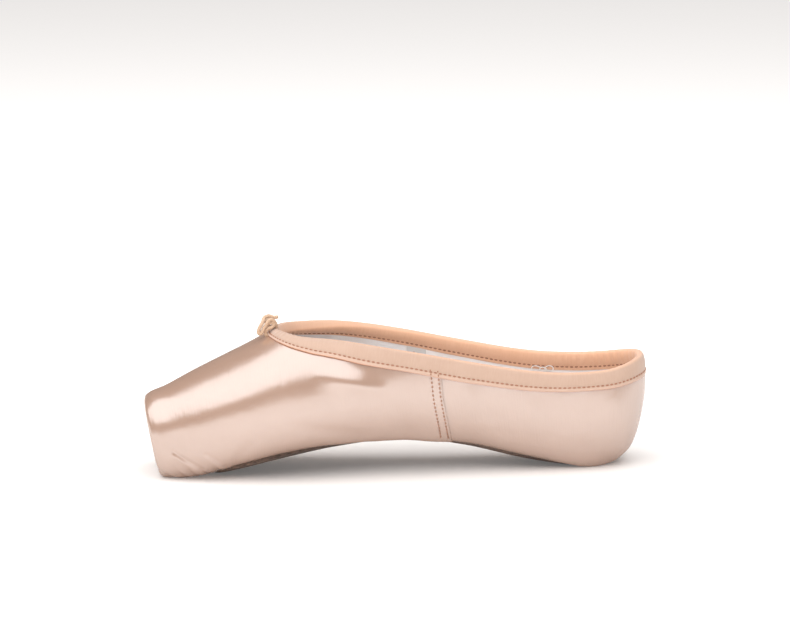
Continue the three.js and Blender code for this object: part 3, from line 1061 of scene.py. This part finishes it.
# Painted highlight: a paler band over the lowest 3 mm of the tape's outer flange. Painted reflection: an
# orange line along its lowest 1.4 mm.
painted_pale_highlight = mixed(fade_over(0.0022, 0.0030, 0.35, 0), cloth.outputs["Color"], (0.62, 0.43, 0.34, 1))
painted_orange_reflection = mixed(fade_over(0.0007, 0.0014, 0.9, 0), painted_pale_highlight, (0.56, 0.22, 0.11, 1))
# Painted light: the tape's inner side, from over the top of its fold, gets a brighter, ruddier copy of
# its colour, standing in for light the inside of the collar lacks.
painted_inner_light = add_node(tree, "ShaderNodeValToRGB", {"Fac": halved})
painted_inner_light.color_ramp.elements[0].color = (0.66, 0.365, 0.22, 1)
painted_inner_light.color_ramp.elements[1].color = (0.80, 0.49, 0.335, 1)
tape_colour_with_painted_light = mixed(fade_over(0.010, 0.013, 0, 1), painted_orange_reflection, painted_inner_light.outputs["Color"])
tree.links.new(tape_colour_with_painted_light, shader.inputs["Base Color"])
bump(tree, shader, ribs.outputs["Fac"], 0.5, 0.12)
binding.data.materials.append(tape)
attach(binding, "root")
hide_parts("binding")

# ---------------------------------------------------------------------------------------------------
# Stitches: single threads of brown-pink cotton, each a short bead that sinks at both ends. One row
# goes through both flanges of the binding, seen outside and inside, and two rows hold each edge of
# the vamp down on the quarters.


TAPE_STITCH = (1.6, 2.25, 0.8)
SEAM_STITCH = (1.2, 2.0, 0.75)
SEAM_ROWS = (1.4, 4.9)


def stitches(name, line, outs, length, pitch, width):
    """One mesh of stitches laid along a line of points, each a copy of one shaped bead."""
    bpy.ops.object.select_all(action="DESELECT")
    bpy.ops.mesh.primitive_uv_sphere_add(segments=8, ring_count=6, radius=0.5)
    bead = bpy.context.object
    flat = np.empty(len(bead.data.vertices) * 3)
    bead.data.vertices.foreach_get("co", flat)
    bead_points = flat.reshape(-1, 3)[:, [2, 0, 1]] * (length, width, width)
    bead_faces = [tuple(p.vertices) for p in bead.data.polygons]
    bpy.data.objects.remove(bead)
    travelled = np.concatenate([[0], np.cumsum(np.linalg.norm(np.diff(line, axis=0), axis=1))])
    places = np.arange(pitch / 2, travelled[-1], pitch)
    points, faces = [], []
    for place in places:
        near = [place - length / 2, place, place + length / 2]
        start, middle, end = (
            np.array([np.interp(at, travelled, line[:, k]) for k in range(3)]) for at in near
        )
        out = np.array([np.interp(place, travelled, outs[:, k]) for k in range(3)])
        run = (end - start) / max(np.linalg.norm(end - start), 1e-6)
        out -= run * (out @ run)
        out /= np.linalg.norm(out)
        basis = np.stack([run, np.cross(out, run), out])
        first = len(points) * len(bead_points)
        faces += [tuple(first + index for index in face) for face in bead_faces]
        points.append(middle + bead_points @ basis)
    made = mesh_object(name, np.concatenate(points), faces)
    shade_smooth(made)
    made.data.materials.append(thread)
    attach(made, "root")
    return made


thread, tree, shader = new_material("brown pink thread", (0.42, 0.2, 0.13), 0.6)
place = add_node(tree, "ShaderNodeTexCoord").outputs["Object"]
twist = add_node(tree, "ShaderNodeTexNoise", {"Vector": place, "Scale": 3000, "Detail": 2})
two_tone(tree, shader, twist.outputs["Fac"], (0.22, 0.09, 0.05), (0.42, 0.21, 0.13))
bump(tree, shader, twist.outputs["Fac"], 0.4, 0.06)


def closed(points):
    return np.vstack([points, points[:1]])


stitches(
    "binding_stitches",
    closed(collar_point(STITCH_ROW * outside_width, 0.55 * tape_fullness + 0.08)),
    closed(on_ladder(ladder_outs, STITCH_ROW * outside_width)),
    *TAPE_STITCH,
)
stitches(
    "binding_stitches_inside",
    closed(collar_point(INSIDE_STITCH_ROW * inside_width, -rim_wall - 0.68)),
    closed(-on_ladder(ladder_outs, INSIDE_STITCH_ROW * inside_width)),
    *TAPE_STITCH,
)

for side, label in ((-1, "near"), (1, "far")):
    for row, back_from_edge in enumerate(SEAM_ROWS, 1):
        turn = side * np.linspace(0.985, 0.33, 60)
        x = seam_x(turn) - back_from_edge
        along = along_at(x)
        angle = turn * rim_angle(along)
        line = last_grown(along, angle, 2.0)
        outs = last_slopes(along, angle)[2]
        for index, point in enumerate(line):
            on_satin = vamp.closest_point_on_mesh(Vector(point * MM))[1]
            line[index] = np.array(on_satin) / MM + outs[index] * 0.22
        stitches(f"{label}_seam_stitches_{row}", line, outs, *SEAM_STITCH)

# ---------------------------------------------------------------------------------------------------
# Tacks: two short brown stitches through the patch into the lining, and three small loops of white
# thread that stand on the far lining nearer the heel. Each loop is a round thread bent into a ring.

DOTS = ((10.6, 48.6), (13.4, 47.4))
DOT_STITCH = (1.0, 1.4, 0.6)
LOOPS_AT = (70.5, 40.2)
LOOP_THREAD = 0.45
# shift along the lining, drop, reach
LOOPS = [(-3.0, 0.0, 1.5), (0.2, -0.6, 1.2), (3.0, -0.2, 1.6)]

for number, (x, z) in enumerate(DOTS, 1):
    ends = on_lining(np.array([x - 0.7, x + 0.7]), z, 0.62)
    stitches(f"patch_dot_{number}", ends, np.array([[0, -1.0, 0], [0, -1.0, 0]]), *DOT_STITCH)

loops = []
for number, (shift, drop, reach) in enumerate(LOOPS):
    turn = np.linspace(0, 2 * np.pi, 28, endpoint=False)
    x = LOOPS_AT[0] + shift + 1.3 * reach * np.cos(turn)
    z = LOOPS_AT[1] + drop + 0.75 * reach * np.sin(turn)
    loops.append(on_lining(x, z, 0.9 + 0.5 * np.sin(2 * turn + number)))


def thread_loops(name, rings, thickness):
    """Closed loops of thread, as one mesh."""
    sides = 8
    points, faces = [], []
    for ring in rings:
        before, after = np.roll(ring, 1, axis=0), np.roll(ring, -1, axis=0)
        run = (after - before) / np.linalg.norm(after - before, axis=1)[:, None]
        out = np.cross(run, (0, 1, 0))
        out /= np.linalg.norm(out, axis=1)[:, None]
        side = np.cross(run, out)
        start = sum(len(p) for p in points)
        turn = np.linspace(0, 2 * np.pi, sides, endpoint=False)
        tube = ring[:, None] + thickness / 2 * (
            out[:, None] * np.cos(turn)[None, :, None] + side[:, None] * np.sin(turn)[None, :, None]
        )
        points.append(tube.reshape(-1, 3))
        for i in range(len(ring)):
            here, there = start + i * sides, start + (i + 1) % len(ring) * sides
            for k in range(sides):
                n = (k + 1) % sides
                faces.append((here + k, here + n, there + n, there + k))
    return mesh_object(name, np.concatenate(points), faces)


tacks = thread_loops("lining_tacks", loops, LOOP_THREAD)
shade_smooth(tacks)
white_thread, tree, shader = new_material("white thread", (0.86, 0.83, 0.80), 0.7)
place = add_node(tree, "ShaderNodeTexCoord").outputs["Object"]
twist = add_node(tree, "ShaderNodeTexNoise", {"Vector": place, "Scale": 3000, "Detail": 2})
two_tone(tree, shader, twist.outputs["Fac"], (0.78, 0.74, 0.70), (0.94, 0.92, 0.90))
bump(tree, shader, twist.outputs["Fac"], 0.4, 0.05)
tacks.data.materials.append(white_thread)
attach(tacks, "root")

# ---------------------------------------------------------------------------------------------------
# Floor and light: a white table in a pale room, with one large soft box above the table and in front
# of the shoe, and a low weak one that fills the shoe's near side. The table glows as painted light,
# more away from the shoe, so that it stays white to its far edge; its weaker glow near the shoe
# deepens the shadow there as painted shade, and its slight peach tint is a painted reflection of the
# satin in that shadow.

TABLE_RADIUS = 14.0
WHITE_FROM = 0.34

bpy.ops.object.select_all(action="DESELECT")
bpy.ops.mesh.primitive_circle_add(vertices=96, radius=TABLE_RADIUS, fill_type="NGON")
table = bpy.context.object
table.name = "table"
# The table's slight peach tint is painted reflection: it stands in for light bounced from the satin into
# the shadow.
white, tree, shader = new_material("white table", (0.88, 0.865, 0.85), 0.9, Specular_IOR_Level=0.1)
place = add_node(tree, "ShaderNodeTexCoord").outputs["Object"]
stretched = add_node(tree, "ShaderNodeMapping", {"Vector": place, "Scale": (1, 2, 1)}).outputs["Vector"]
far_off = add_node(tree, "ShaderNodeVectorMath", {0: stretched}, operation="LENGTH").outputs["Value"]
# Painted light: the table's glow, weakest under and round the shoe, where it deepens the shadow as
# painted shade.
glow = add_node(
    tree,
    "ShaderNodeMapRange",
    {"Value": far_off, "From Min": 0.12, "From Max": WHITE_FROM, "To Min": 0.08, "To Max": 0.42},
)
shader.inputs["Emission Color"].default_value = (1, 1, 1, 1)
tree.links.new(glow.outputs["Result"], shader.inputs["Emission Strength"])
table.data.materials.append(white)


def soft_light(name, location, size, power, at=(0, 0, 0.03)):
    bpy.ops.object.light_add(type="AREA", location=location)
    light = bpy.context.object
    light.name = name
    light.data.shape = "RECTANGLE"
    light.data.size, light.data.size_y = size
    light.data.energy = power
    light.visible_camera = False
    light.rotation_euler = (Vector(at) - Vector(location)).to_track_quat("-Z", "Y").to_euler()
    return light


soft_light("overhead", (-0.5, -0.6, 1.2), (3.2, 2.6), 54, at=(-0.5, -0.6, 0))
front = soft_light("front_fill", (-0.2, -1.9, 0.22), (1.6, 0.4), 12.5)
front.visible_glossy = False
world = bpy.data.worlds.new("studio")
bpy.context.scene.world = world
world.use_nodes = True
tree = world.node_tree
tree.nodes["Background"].inputs["Color"].default_value = (0.30, 0.28, 0.27, 1)
tree.nodes["Background"].inputs["Strength"].default_value = 1.0
